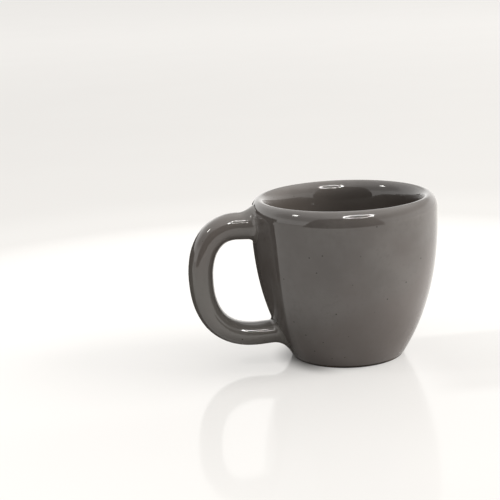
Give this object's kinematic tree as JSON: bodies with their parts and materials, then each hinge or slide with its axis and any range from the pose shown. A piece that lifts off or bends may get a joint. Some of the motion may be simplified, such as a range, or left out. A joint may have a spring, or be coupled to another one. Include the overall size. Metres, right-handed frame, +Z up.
{
  "type": "espresso cup",
  "caption": "Small thick-walled glazed ceramic coffee cup with a rolled lip, a tapering bowl on a foot ring and a luted loop handle.",
  "frame": {"origin": "middle of the object's box in X and Y, on the surface that the cup stands on", "axes": "+Z up out of the cup's mouth, -X from the bowl towards the handle, Y across the handle"},
  "size_m": [0.0866, 0.064, 0.056],
  "materials": {
    "body_glaze": "high-gloss warm mid-grey glaze, unglazed on the foot ring's standing face",
    "handle_glaze": "high-gloss warm mid-grey glaze"
  },
  "bodies": {
    "root": {"cup_body": "body_glaze", "handle": "handle_glaze", "upper_handle_slip": "handle_glaze", "lower_handle_slip": "handle_glaze"}
  },
  "joints": []
}
